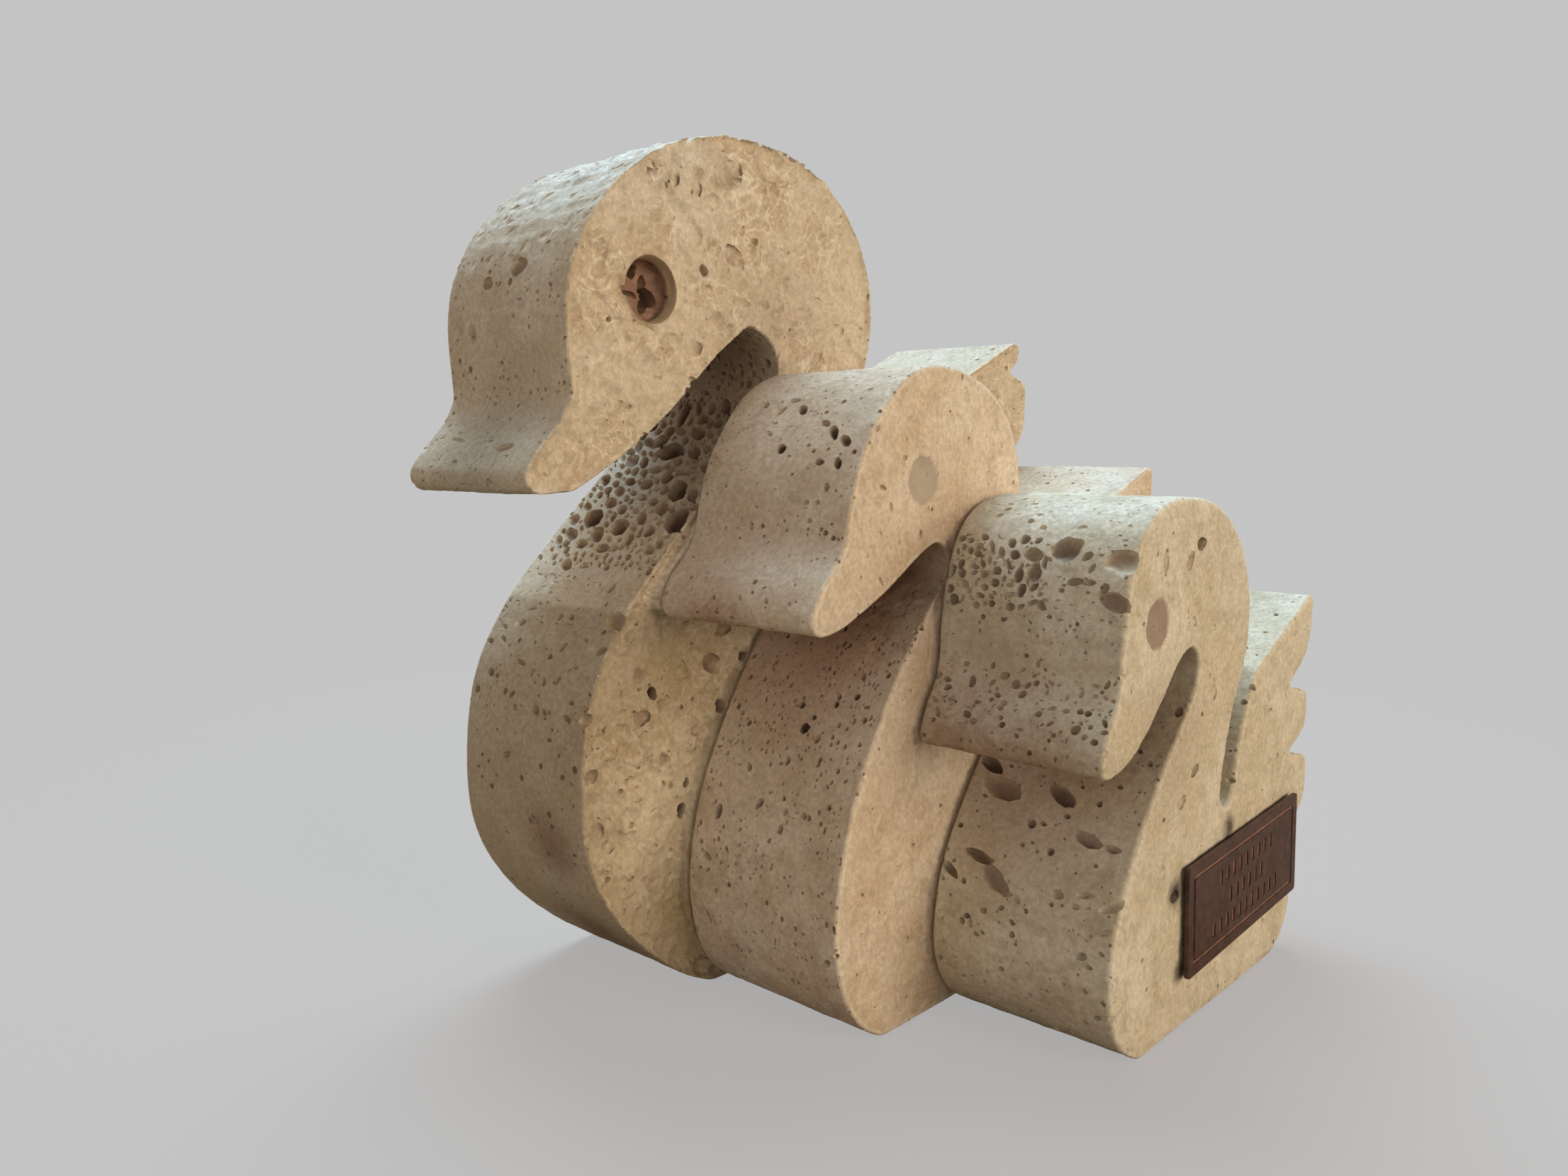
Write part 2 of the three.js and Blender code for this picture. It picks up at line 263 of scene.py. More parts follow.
MEDIUM_PORES = [
    Pores("edge", (-16, -37, 40), (16, -10, 62), 300, (0.35, 1.1), (0.5, 0.95), (80, 50)),
    Pores("edge", (-16, -37, 4), (16, -20, 44), 240, (0.3, 1.0), (0.45, 0.9), (80, 60)),
    Pores("edge", (-16, -45, 60), (16, -10, 76), 70, (0.3, 0.9)),
    Pores("edge", (-16, -36, 72), (16, -24, 94), 60, (0.3, 0.9)),
    Pores("edge", (-16, -30, 90), (16, 8, 98), 90, (0.4, 1.6), (0.3, 0.6), (0, 30), (0.3, 0.6)),
    Pores("edge", (-16, 0, 45), (16, 12, 92), 50, (0.3, 1.1)),
    Pores("edge", (-16, 12, 2), (16, 60, 84), 90, (0.3, 1.2)),
    Pores("rim", (-FAR, -66, 0), (FAR, 64, 99), 30, (0.5, 1.3), (0.4, 0.8), (0, 90), (0.15, 0.3)),
    Pores("right", (-FAR, -45, 46), (FAR, 12, 98), 12, (0.3, 0.8)),
    Pores("right", (-FAR, -45, 46), (FAR, 12, 98), 24, (0.8, 2.2), (0.5, 0.9), (0, 90), (0.06, 0.14)),
    Pores("right", (-FAR, -37, 2), (FAR, 0, 60), 16, (0.3, 0.8)),
    Pores("right", (-FAR, 12, 40), (FAR, 60, 84), 30, (0.3, 1.2)),
]
MEDIUM_VOIDS = [
    (-8, -25, 92, 1.6, 1.1, -30), (-4, -26.4, 91.2, 2.0, 1.0, 45),
    (-2.6, -24.6, 92.6, 2.2, 1.0, 5), (0.2, -26, 91.2, 1.9, 1.2, -45),
    (6, -28, 89.4, 1.9, 0.9, -20), (8.2, -29, 88, 2.4, 1.2, -55, 0.8),
    (11, -29.4, 86.6, 2.2, 1.2, -40), (-0.4, -30, 85.4, 1.8, 1.5, -10, 0.9),
    (7.6, -31, 83.6, 1.8, 1.0, -10, 0.8), (11, -31, 83.4, 1.9, 1.2, -60, 0.9),
    (10, -32, 80, 1.2, 0.8, -80), (7, -33, 78, 0.9, 0.7, 0),
    (9, -33, 78, 0.9, 0.7, 0), (8, -33, 75.4, 0.9, 0.7, 0),
    (-4, -29, 88, 1.6, 0.7, -25), (6, -40, 65, 1.0, 0.7, -50),
    (1, -40, 65, 0.9, 0.6, -55), (-4, -40, 64.6, 0.9, 0.6, -50),
    (15.7, -27, 88, 1.1, 0.7, 30), (15.7, -21, 84, 0.9, 0.7, 0),
    (15.7, -26, 80, 1.3, 0.7, -15), (15.7, -24, 77, 1.5, 0.7, -80),
    (15.7, -17, 73, 1.2, 0.7, -85), (15.7, -26, 67, 1.5, 0.6, -55),
    (2, -27.6, 44.8, 1.8, 1.6, -10, 0.8), (5, -28.2, 43.6, 1.4, 1.0, 50),
    (1, -30, 40, 1.4, 1.0, 80), (-6, -31, 38, 1.4, 1.0, -60),
    (9, -23, 53, 1.4, 0.9, -60), (-2.2, -33, 33.6, 1.9, 1.1, 50),
    (-10, -34, 31, 2.1, 1.2, 85), (2.8, -34, 31, 1.5, 1.0, 90),
    (3, -33, 33.4, 1.2, 0.9, 50), (6.6, -33, 33.6, 1.2, 0.9, -45),
    (13, -35, 14, 1.5, 0.9, 40), (-11, -35, 24, 1.9, 0.8, -25),
]

SMALL_PORES = [
    Pores(
        "edge", (17, -16, 63), (33, -4, 73), 110, (0.5, 1.9), (0.4, 0.9), (0, 70),
        deep=(0.6, 1.1), skew=1.5, crowd=1.04,
    ),
    Pores("edge", (33, -16, 62), (46, -4, 74), 34, (0.3, 1.2), (0.3, 0.7), (0, 20)),
    Pores("edge", (16, -16, 54), (46, -8, 64), 24, (0.3, 0.8)),
    Pores("edge", (16, -22, 47), (46, -12, 55), 110, (0.4, 1.5), (0.35, 0.8), (10, 50), (0.6, 1.1), 1.8),
    Pores("edge", (16, -22, 41), (46, -12, 47), 40, (0.3, 1.0), (0.4, 0.9), (0, 60)),
    Pores("edge", (16, -12, 73), (46, 22, 79), 120, (0.4, 1.5), (0.4, 0.8), (0, 40), (0.3, 0.6)),
    Pores("edge", (16, -16, 22), (46, 8, 52), 120, (0.3, 1.4), (0.5, 0.9), (-15, 20)),
    Pores("edge", (16, -16, 2), (46, -8, 24), 120, (0.3, 1.2), (0.4, 0.9), (-15, 50)),
    Pores("edge", (16, 18, 30), (46, 32, 70), 60, (0.3, 1.3)),
    Pores("edge", (16, 30, 2), (46, 60, 63), 100, (0.3, 1.3)),
    Pores("rim", (-FAR, -22, 0), (FAR, 64, 80), 30, (0.5, 1.3), (0.4, 0.8), (0, 90), (0.15, 0.3)),
    Pores("right", (-FAR, -22, 2), (FAR, 60, 80), 30, (0.3, 0.9)),
    Pores("right", (-FAR, -22, 2), (FAR, 60, 80), 40, (0.9, 2.6), (0.5, 0.9), (0, 90), (0.06, 0.14)),
]
SMALL_VOIDS = [
    (35, -11, 71.8, 4.4, 3.4, 10, 0.35), (43.8, -11.6, 70.6, 5.2, 3.2, -5, 0.2),
    (43.4, -13, 65.2, 4.2, 2.0, -15, 0.45), (31, -13, 68.6, 2.9, 2.0, -80, 0.5),
    (30.2, -12, 71, 2.6, 1.8, -10, 0.4), (25, -13, 68.4, 1.3, 1.0, 0, 0.9),
    (28.6, -13, 68, 1.9, 1.2, -90, 0.9), (29.4, -13, 65.8, 1.9, 1.4, 70, 0.9),
    (25, -13.4, 66.6, 1.3, 1.0, 0, 0.8), (25, -12, 71, 1.7, 0.9, -65),
    (23.4, -12, 69.6, 1.2, 0.8, -70), (37.4, -13, 67.6, 2.2, 0.9, 10, 0.8),
    (39.6, -13, 67.6, 1.6, 0.8, 5, 0.8), (27.6, -14, 65.2, 2.0, 0.7, 10),
    (38.4, -11.4, 71, 1.7, 1.2, 30), (39.4, -12, 69.4, 1.4, 0.9, 70),
    (41.8, -13, 67, 1.5, 1.2, 60), (21, -12, 69.6, 1.1, 0.6, -70),
    (21, -11, 71.4, 1.4, 0.9, -10), (23, -13, 67.6, 1.2, 0.9, 0),
    (33, -14, 56, 1.0, 0.7, 85), (40, -15, 53, 1.1, 0.7, 70),
    (42, -15, 53, 0.9, 0.6, 5), (43.4, -15, 53, 0.9, 0.6, -20),
    (38, -15.6, 52.4, 1.0, 0.5, 75), (23, -15, 52.4, 1.7, 1.2, 80, 0.8),
    (28, -15, 54, 1.7, 1.0, 15), (30, -15, 53, 1.5, 1.2, 25),
    (29, -17, 51, 1.2, 0.8, 0), (19, -18, 48, 1.5, 0.8, -65),
    (46.05, 8, 71.8, 2.4, 1.5, 10, 0.8), (46.05, 4.6, 69.6, 2.6, 1.6, 50, 0.35),
    (46.05, -3, 69.8, 3.6, 1.8, 88, 0.35), (46.05, 7.4, 68.4, 2.6, 1.4, 10, 0.2),
    (46.05, -3, 66.6, 2.0, 1.5, 0, 0.12), (46.05, 8.8, 39, 2.8, 1.3, 25, 0.7),
    (46.05, 5, 35, 2.6, 1.5, 25, 0.4), (46.05, 37, 43, 2.4, 1.2, -15, 0.5),
    (46.05, 41, 35, 1.6, 0.8, -15, 0.5), (46.05, 3.6, 21.6, 1.8, 2.4, 90, 0.9),
    (44, 6, 48, 1.7, 1.3, -70, 0.8), (43, -1, 42, 1.2, 0.8, -40, 0.8),
    (44.6, 28, 46, 1.2, 0.8, 5, 0.8), (44.8, 24.4, 34, 1.5, 0.8, 10, 0.8),
    (45.6, 30, 48, 1.2, 0.9, 0, 0.8), (16.6, -12.6, 67.6, 2.4, 1.8, 60, 1.0),
    (16.6, -15.2, 52.7, 1.8, 1.2, 0, 0.9), (19, -4, 38, 4.6, 2.0, -20, 0.8),
    (22.4, -6, 35, 7.0, 3.0, -8, 0.35), (32, -5.4, 35.8, 4.6, 1.9, -25, 0.6),
    (38, -9, 31.6, 4.6, 1.9, -15, 0.5), (42, -9, 31, 2.6, 1.1, -5, 0.7),
    (18, -13, 23.4, 4.0, 1.4, -30, 0.9), (22.4, -11.6, 26, 5.0, 1.5, -12, 0.8),
    (26, -13, 23.6, 5.0, 2.2, -32, 0.35), (30, -14, 22, 1.5, 0.8, -40),
    (36, -13, 24, 2.0, 1.2, -10, 0.5), (40, -13, 25, 2.6, 0.9, 10, 0.6),
    (44.4, -13.4, 24.8, 4.2, 1.2, 32, 0.4), (39, -13, 23, 1.4, 0.8, 5),
    (29, -9, 32, 1.3, 1.1, 0, 0.8), (25, -14, 19, 1.2, 0.8, 5, 0.8),
    (23, -15, 17, 1.8, 0.7, -75), (30, -15, 17, 1.0, 0.9, 45, 0.8),
    (41, -15, 17, 1.4, 0.9, 25), (36, -15, 18, 2.6, 1.8, 25, 0.15),
    (44, -14, 21, 1.8, 0.8, 25, 0.4),
]

BIRDS = {
    "large": Bird(
        node="swan_large",
        tones=("#ebdec8", "#dac6a9", "#b9a58a", "#4a3428"),
        eye=(-39.7, 107.8, 4.8),
        eye_tones=("#b8a284", "#8a6a5a"),
        tumbled=1.0,
        grime_and_shade=(0.7, 2.0),
        rough={"right": 1.0, "left": 0.3, "edge": 0.06, "crown": 0.5},
        crown=113,
        pores=LARGE_PORES,
        voids=LARGE_VOIDS,
        stains_and_painted_light=(
            # Painted highlight: the cool sheen of the light from above on the crown.
            StainOrPaintedLight((-31, -38, 129), 24, "#e8e8e2", 0.45),
            # Painted shadow of the head on the top of the bill.
            StainOrPaintedLight((-31, -62, 88), 16, "#8f8a7a", 0.5),
            # Painted shade in the gap under the chin.
            StainOrPaintedLight((-31, -13, 101), 24, "#6e4a40", 0.6),
            StainOrPaintedLight((-25, -53, 27), 8, "#7c5442", 0.6),
            StainOrPaintedLight((-28, -44, 8), 13, "#74503f", 0.5),
            # Painted warm shade where the side shows through the medium bird's chin gap.
            StainOrPaintedLight((-16, -20, 62), 8, "#a8703c", 0.4),
            StainOrPaintedLight((-15.6, -30, 12), 12, "#b09a58", 0.45),
            StainOrPaintedLight((-15.6, -36, 52), 9, "#b39a5c", 0.3),
            # Painted light on the side by the seam, lifting the shadow that the medium bird casts.
            StainOrPaintedLight((-15.6, -37, 30), 18, "#f2e4c8", 0.5),
        ),
        band=(61.5, "#9a8462", 0.5),
        spared=((-18.4, -37.6, 89.5), (-17.5, -39.6, 88)),
    ),
    "medium": Bird(
        node="swan_medium",
        tones=("#e8d8c2", "#dac4a8", "#b8a088", "#44302a"),
        eye=(-16.3, 80.7, 3.3),
        eye_tones=("#b1a291", "#a89686"),
        tumbled=0.8,
        grime_and_shade=(0.25, 1.0),
        rough={"right": 0.3, "left": 0.0, "edge": 0.06, "crown": 0.2},
        crown=90,
        pores=MEDIUM_PORES,
        voids=MEDIUM_VOIDS,
        stains_and_painted_light=(
            # Painted shade, warm and reddish, on the breast under the chin.
            StainOrPaintedLight((-2, -22, 58), 26, "#87523a", 0.6),
            # Painted shade deep in the gap under the chin.
            StainOrPaintedLight((0, -10, 70), 22, "#6e3c2c", 0.7),
            # Painted warm bounce light in the shade under the bill.
            StainOrPaintedLight((-6, -45, 60), 12, "#9a6c54", 0.7),
            # Painted shade on the throat under the bill.
            StainOrPaintedLight((0, -36, 62), 7, "#8c6a4c", 0.3),
        ),
    ),
    "small": Bird(
        node="swan_small",
        tones=("#e4dac6", "#d6c8ae", "#b0a084", "#44302a"),
        eye=(-4.4, 61.7, 3.5),
        eye_tones=("#9d8877", "#9d8877"),
        tumbled=0.6,
        grime_and_shade=(0.5, 2.2),
        rough={"right": 0.25, "left": 0.0, "edge": 0.06, "crown": 0.2},
        crown=72,
        pores=SMALL_PORES,
        voids=SMALL_VOIDS,
        stains_and_painted_light=(
            # Painted shade on the breast under the bill.
            StainOrPaintedLight((26, -7, 41), 26, "#8c6450", 0.6),
            # Painted shade in the gap at the neck.
            StainOrPaintedLight((38, 2, 46), 16, "#8c6a4a", 0.4),
            # Painted warm bounce light in the shade under the bill, at both of its ends.
            StainOrPaintedLight((22, -20, 42), 12, "#96704e", 0.6),
            StainOrPaintedLight((36, -20, 42), 12, "#96704e", 0.6),
            # Painted shade on the face at the tail's front edge.
            StainOrPaintedLight((31, 22, 44), 16, "#a08a68", 0.5),
            # Near-black painted shade in the voids by the label's edges.
            StainOrPaintedLight((46, 22, 27.6), 3.2, "#30241c", 0.9),
            StainOrPaintedLight((46, 3.8, 22), 3.4, "#30241c", 0.9),
            StainOrPaintedLight((46, 6.2, 9.4), 2.6, "#3c2c20", 0.8),
        ),
    ),
}
NEIGHBOURS = {
    "large": ("swan_medium",),
    "medium": ("swan_large", "swan_small"),
    "small": ("swan_medium",),
}


def select_only(*pieces):
    """Selects these objects and nothing else, and makes the first one active."""
    bpy.ops.object.select_all(action="DESELECT")
    for piece in pieces:
        piece.select_set(True)
    bpy.context.view_layer.objects.active = pieces[0]


def apply_modifier(piece, kind, **settings):
    """Adds a modifier with these settings and applies it."""
    select_only(piece)
    modifier = piece.modifiers.new(kind.title(), kind)
    for name, value in settings.items():
        setattr(modifier, name, value)
    bpy.ops.object.modifier_apply(modifier=modifier.name)


def copy_of_node(node, name):
    """A new object with a merged copy of a CAD node's mesh."""
    piece = bpy.data.objects.new(name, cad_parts[node].data.copy())
    bpy.context.scene.collection.objects.link(piece)
    piece.data.materials.clear()
    select_only(piece)
    bpy.ops.object.mode_set(mode="EDIT")
    bpy.ops.mesh.select_all(action="SELECT")
    bpy.ops.mesh.remove_doubles(threshold=0.001 * MM)
    bpy.ops.object.mode_set(mode="OBJECT")
    return piece


def tree_of(mesh):
    """A search tree of a mesh's faces."""
    faces = bmesh.new()
    faces.from_mesh(mesh)
    tree = BVHTree.FromBMesh(faces)
    faces.free()
    return tree


def places_and_normals(mesh):
    """Where the points of a mesh are, in mm, and which way they face."""
    places = np.empty(len(mesh.vertices) * 3, dtype=np.float32)
    normals = np.empty_like(places)
    mesh.vertices.foreach_get("co", places)
    mesh.vertex_normals.foreach_get("vector", normals)
    return places.reshape(-1, 3) / MM, normals.reshape(-1, 3)


class Surface:
    """The sawn surface of one bird, and the worn one once it is made, to place voids on."""

    def __init__(self, mesh, neighbours):
        self.tree = self.worn = tree_of(mesh)
        self.neighbours = [tree_of(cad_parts[node].data) for node in neighbours]
        mesh.calc_loop_triangles()
        corners = [[mesh.vertices[i].co for i in face.vertices] for face in mesh.loop_triangles]
        self.corners = np.array(corners) / MM
        a, b, c = self.corners.transpose(1, 0, 2)
        crossed = np.cross(b - a, c - a)
        self.area = np.linalg.norm(crossed, axis=1) / 2
        self.normal = crossed / np.maximum(2 * self.area[:, None], 1e-12)

    def faces_in(self, zone):
        """The triangles of a zone's face that reach into its box."""
        side = self.normal[:, 0]
        kinds = {
            "edge": abs(side) < EDGE_NORMAL,
            "rim": (abs(side) > EDGE_NORMAL) & (abs(side) < RIM_NORMAL),
            "right": side > SIDE_NORMAL,
            "left": side < -SIDE_NORMAL,
        }
        reach = (self.corners.max(1) >= zone.low) & (self.corners.min(1) <= zone.high)
        return np.nonzero(kinds[zone.face] & reach.all(1))[0]

    def seat(self, place):
        """The point of the worn stone nearest to a place in mm."""
        return self.worn.find_nearest(Vector(place) * MM)[0] / MM

    def nearest(self, place):
        """The point of the worn stone nearest to a place in mm, and the face's normal."""
        point, normal, _, _ = self.tree.find_nearest(Vector(place) * MM)
        return self.seat(point / MM), normal

    def covered(self, place):
        """Whether a neighbour lies against this place, so that nobody sees it."""
        reach = 0.6 * MM
        return any(tree.find_nearest(Vector(place) * MM, reach)[0] for tree in self.neighbours)


class Hole(NamedTuple):
    """A void as it is cut, in mm: the middle of its mouth and its three half axes."""

    point: Vector
    along: Vector
    across: Vector
    outward: Vector


def hole_at(point, normal, size, lean, depth):
    """A hole with its mouth on the surface. Its length leans from level by an angle."""
    level = Vector((1, 0, 0)) if abs(normal.x) < LENGTHWISE_NORMAL else Vector((0, 1, 0))
    level = (level - normal * level.dot(normal)).normalized()
    rise = normal.cross(level)
    if rise.z < 0:
        rise = -rise
    angle = math.radians(lean)
    along = level * math.cos(angle) + rise * math.sin(angle)
    return Hole(point, along * size[0] / 2, normal.cross(along) * size[1] / 2, normal * depth)


def apart(hole, other, crowd):
    """Whether two holes keep clear of each other, along the first one's own axes."""
    gap = other.point - hole.point
    total = 0
    for axis, size in zip(hole[1:], (other.along.length, other.across.length, other.along.length)):
        total += (gap.dot(axis) / (axis.length * (axis.length + size))) ** 2
    return total > crowd * crowd


class Batches:
    """The holes made so far, in batches that are cut one after the other. The holes of
    one batch don't meet, and clear is how far apart they keep. They are found by the
    cell that they lie in, whose width is in mm."""

    count = 7
    cell = 8
    clear = 1.3

    def __init__(self):
        self.batches = [[] for _ in range(self.count)]
        self.cells = {}

    def near(self, hole):
        """The holes in the cells round this one, each with its batch."""
        i, j, k = (int(value // self.cell) for value in hole.point)
        for a in (i - 1, i, i + 1):
            for b in (j - 1, j, j + 1):
                for c in (k - 1, k, k + 1):
                    yield from self.cells.get((a, b, c), ())

    def add(self, hole, crowd):
        """Takes in a hole if it keeps its distance from the others."""
        meets = set()
        for other, batch in self.near(hole):
            if not apart(hole, other, crowd):
                return False
            if not apart(hole, other, self.clear):
                meets.add(batch)
        free = [batch for batch in range(len(self.batches)) if batch not in meets]
        if not free:
            return False
        self.batches[free[0]].append(hole)
        cell = tuple(int(value // self.cell) for value in hole.point)
        self.cells.setdefault(cell, []).append((hole, free[0]))
        return True


def spread(surface, zone, rng, batches):
    """Spreads holes at random over one zone, the largest first."""
    faces = surface.faces_in(zone)
    running = np.cumsum(surface.area[faces])
    least, most = zone.size
    usual, stray = zone.lean
    lengths = [least + (most - least) * rng.random() ** zone.skew for _ in range(zone.count)]
    for length in sorted(lengths, reverse=True):
        width = length * rng.uniform(*zone.slender)
        depth = width * rng.uniform(*zone.deep)
        lean = rng.gauss(usual, stray / 2)
        for _ in range(zone.tries):
            face = faces[min(bisect(running, rng.random() * running[-1]), len(faces) - 1)]
            a, b, c = surface.corners[face]
            u, v = sorted((rng.random(), rng.random()))
            point = a * u + b * (v - u) + c * (1 - v)
            if (point < zone.low).any() or (point > zone.high).any() or surface.covered(point):
                continue
            normal = Vector(surface.normal[face])
            hole = hole_at(surface.seat(point), normal, (length, width), lean, depth)
            if batches.add(hole, zone.crowd):
                break


def soften_rims(batches):
    """Adds a wide and shallow hole over each large one, so that its rim is worn round."""
    longer, wider, shallow = SOFT_SHARES
    for hole in [hole for holes in batches.batches for hole in holes]:
        width = hole.across.length
        if width > SOFT_FROM:
            depth = hole.outward.normalized() * width * shallow
            batches.add(Hole(hole.point, hole.along * longer, hole.across * wider, depth), crowd=0)


def void_forms(subdivisions):
    """Lumpy balls of radius 1, the forms that the voids are cut with."""
    forms = []
    for basis in ("ORIGINAL_PERLIN", "IMPROVED_PERLIN", "BLENDER_ORIGINAL", "VORONOI_F2"):
        bpy.ops.object.select_all(action="DESELECT")
        bpy.ops.mesh.primitive_ico_sphere_add(subdivisions=subdivisions, radius=1)
        form = bpy.context.object
        lumps = bpy.data.textures.new("lumps", "CLOUDS")
        lumps.noise_scale = 0.8
        lumps.noise_basis = basis
        settings = {"texture": lumps, "texture_coords": "LOCAL", "strength": 0.7, "mid_level": 0.6}
        apply_modifier(form, "DISPLACE", **settings)
        forms.append(form)
    return forms


def cutter(holes, spared, fine, coarse, rng):
    """One object with a lumpy ball for each hole that isn't spared, at its place and
    size, turned one of four ways."""
    parts = []
    for hole in holes:
        form = rng.choice(fine if hole.across.length > FINE_FROM else coarse)
        signs = rng.choice(((1, 1, 1), (-1, -1, 1), (1, -1, -1), (-1, 1, -1)))
        if any((hole.point - Vector(place)).length < SPARED_REACH for place in spared):
            continue
        columns = [axis * sign * MM * BALL_SCALE for axis, sign in zip(hole[1:], signs)]
        middle = (hole.point - hole.outward * BALL_SINK) * MM
        mesh = form.data.copy()
        mesh.transform(Matrix([*zip(*columns, middle), (0, 0, 0, 1)]))
        if Matrix(columns).determinant() < 0:
            mesh.flip_normals()
        part = bpy.data.objects.new("void", mesh)
        bpy.context.scene.collection.objects.link(part)
        parts.append(part)
    select_only(*parts)
    if len(parts) > 1:
        bpy.ops.object.join()
    return parts[0]


def cut(stone, tool):
    """Cuts one object out of another and deletes it."""
    before = len(stone.data.polygons)
    apply_modifier(stone, "BOOLEAN", operation="DIFFERENCE", solver="MANIFOLD", object=tool)
    bpy.data.objects.remove(tool)
    if len(stone.data.polygons) < before / 2:
        raise RuntimeError("the cut lost most of the stone")


def relief(kind, size, **settings):
    """A texture for the Displace modifier, its features about size mm wide."""
    texture = bpy.data.textures.new(f"{kind.lower()} {size} mm", kind)
    texture.noise_scale = size * MM
    for name, value in settings.items():
        setattr(texture, name, value)
    return texture


def group_of(stone, name, weights):
    """Makes a vertex group from one weight per point, in steps of a tenth."""
    group = stone.vertex_groups.new(name=name)
    steps = np.round(weights * 10).astype(int)
    for step in range(1, 11):
        group.add(np.nonzero(steps == step)[0].tolist(), step / 10, "REPLACE")
    return name


def roughness(bird, places, normals):
    """How strongly each place on a bird was worn, from 0 to 1."""
    side = normals[:, 0]
    flat = np.clip(2 * abs(side) - 1, 0, 1) * np.sign(side)
    height = np.clip((places[:, 2] - bird.crown) / CROWN_BLEND, 0, 1)
    crown = height * np.clip(normals[:, 2] * 3, 0, 1)
    rough = bird.rough
    weights = (rough["edge"] + (rough["crown"] - rough["edge"]) * crown) * (1 - abs(side))
    return weights + rough["right"] * np.clip(flat, 0, 1) + rough["left"] * np.clip(-flat, 0, 1)


def wear(stone, bird, surface, settings):
    """Wears the sawn stone. Its edges get round and its faces wander a little, and then
    rough faces get shallow cups with curling ridges between them. Stone is only taken
    away. Returns a search tree of the stone as it was before the cups."""
    common = {"texture_coords": "LOCAL", "mid_level": 1}
    apply_modifier(stone, "SMOOTH", factor=0.5, iterations=round(settings.rounding * bird.tumbled))
    texture = relief("CLOUDS", WAVE_WIDTH, noise_depth=1)
    apply_modifier(stone, "DISPLACE", texture=texture, strength=settings.wander, **common)
    plain = tree_of(stone.data)
    places, normals = places_and_normals(stone.data)
    weights = roughness(bird, places, normals)
    for index in np.nonzero(abs(normals[:, 0]) > FACING_NORMAL)[0]:
        if surface.covered(places[index]):
            weights[index] = 0
    worn = group_of(stone, "worn", weights)
    for size, share in CUPS:
        cups = relief("DISTORTED_NOISE", size, distortion=1.5)
        strength = settings.cups * share
        apply_modifier(stone, "DISPLACE", texture=cups, strength=strength, vertex_group=worn, **common)
    stone.vertex_groups.clear()
    apply_modifier(stone, "SMOOTH", factor=0.5, iterations=1)
    return plain


def keep_number(stone, name, values):
    """Keeps one number per point as an attribute that the material reads."""
    attribute = stone.data.attributes.new(name, "FLOAT", "POINT")
    attribute.data.foreach_set("value", values)


def measure(stone, plain, uncut, bird, deepest):
    """Notes for each point how deep it lies in a pore and in the eye, in mm, how deep
    it lies in a worn cup, from 0 to 1, and whether it is on a rim or on a side."""
    points = [vertex.co for vertex in stone.data.vertices]
    keep_number(stone, "pore_depth", [uncut.find_nearest(point)[3] / MM for point in points])
    found = [plain.find_nearest(point) for point in points]
    places = np.array([point for point, _, _, _ in found]) / MM
    normals = np.array([normal for _, normal, _, _ in found])
    away = np.array([distance for _, _, _, distance in found]) / MM
    deepest = deepest / MM * roughness(bird, places, normals) + LEAST_CUP
    keep_number(stone, "worn", away / deepest)
    slant = normals[:, 0] ** 2
    keep_number(stone, "rim", 2 * np.minimum(slant, 1 - slant))
    keep_number(stone, "side", slant)
    places, _ = places_and_normals(stone.data)
    y, z, radius = bird.eye
    inside = np.hypot(places[:, 1] - y, places[:, 2] - z) < radius + EYE_MARGIN
    depth = places[:, 0].max() - places[:, 0]
    keep_number(stone, "eye_depth", np.where(inside & (depth < EYE_REACH), depth, 0))


def linear(code):
    """An sRGB hex colour as linear red, green, blue and alpha."""
    values = [int(code[i : i + 2], 16) / 255 for i in (1, 3, 5)]
    return [v / 12.92 if v <= 0.04045 else ((v + 0.055) / 1.055) ** 2.4 for v in values] + [1]


def add_node(tree, kind, settings=None, inputs=None):
    """Adds a node. Settings are its own values. Inputs are values or other nodes' sockets."""
    made = tree.nodes.new(f"ShaderNode{kind}")
    for name, value in (settings or {}).items():
        setattr(made, name, value)
    for name, value in (inputs or {}).items():
        socket = made.inputs[name]
        if isinstance(value, bpy.types.NodeSocket):
            tree.links.new(value, socket)
        else:
            socket.default_value = value
    return made


def new_material(name):
    """A node material with only its output node."""
    material = bpy.data.materials.new(name)
    material.use_nodes = True
    tree = material.node_tree
    tree.nodes.clear()
    return material, tree, add_node(tree, "OutputMaterial")


class Paint:
    """Builds up a colour in layers, each laid over the last by a share from 0 to 1."""

    def __init__(self, tree, base):
        self.tree = tree
        self.color = base

    def ramp(self, value, start, end, most=1.0, least=0.0):
        """A share that runs from least to most as the value runs from start to end."""
        settings = {"interpolation_type": "SMOOTHSTEP"}
        inputs = {0: value, 1: start, 2: end, 3: least, 4: most}
        return add_node(self.tree, "MapRange", settings, inputs).outputs[0]

    def times(self, one, other):
        """The product of two shares."""
        inputs = {0: one, 1: other}
        return add_node(self.tree, "Math", {"operation": "MULTIPLY"}, inputs).outputs[0]

    def layer(self, share, color, blend="MIX"):
        """Lays a colour over the paint so far."""
        settings = {"data_type": "RGBA", "blend_type": blend}
        inputs = {0: share, 6: self.color, 7: color}
        self.color = add_node(self.tree, "Mix", settings, inputs).outputs[2]


